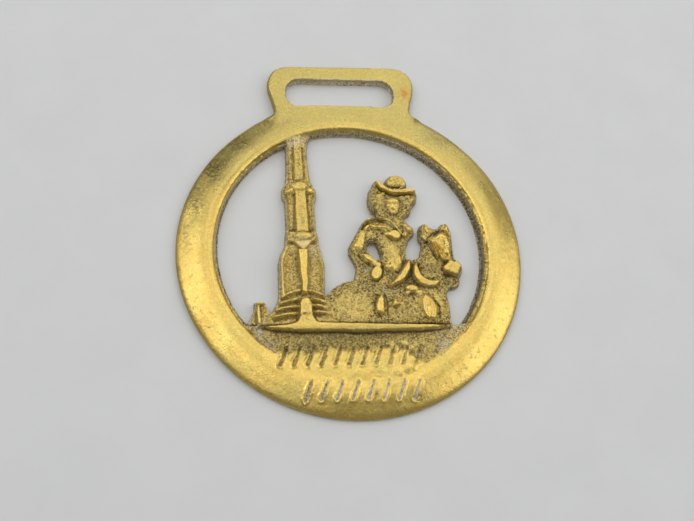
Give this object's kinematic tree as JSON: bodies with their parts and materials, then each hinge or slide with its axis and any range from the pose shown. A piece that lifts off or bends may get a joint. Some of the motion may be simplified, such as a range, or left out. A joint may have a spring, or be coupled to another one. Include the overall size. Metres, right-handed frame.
{
  "type": "horse brass",
  "caption": "Cast brass harness ornament: a flat ring with a slotted strap hanger, framing a stepped tower and a rider on a horse in low relief.",
  "frame": {"origin": "middle of the bounding box, on the flat back face, which lies on the table", "axes": "+Z out of the carved front, +Y towards the strap hanger, +X to the right of the front"},
  "size_m": [0.078, 0.088, 0.0033],
  "materials": {
    "brass": "sand-cast yellow brass, satin polished on the high points and the ring, with dull tarnish at the top, dark creases and a pale powdery residue in the rough cast hollows"
  },
  "bodies": {
    "root": {"horse_brass": "brass"}
  },
  "joints": []
}
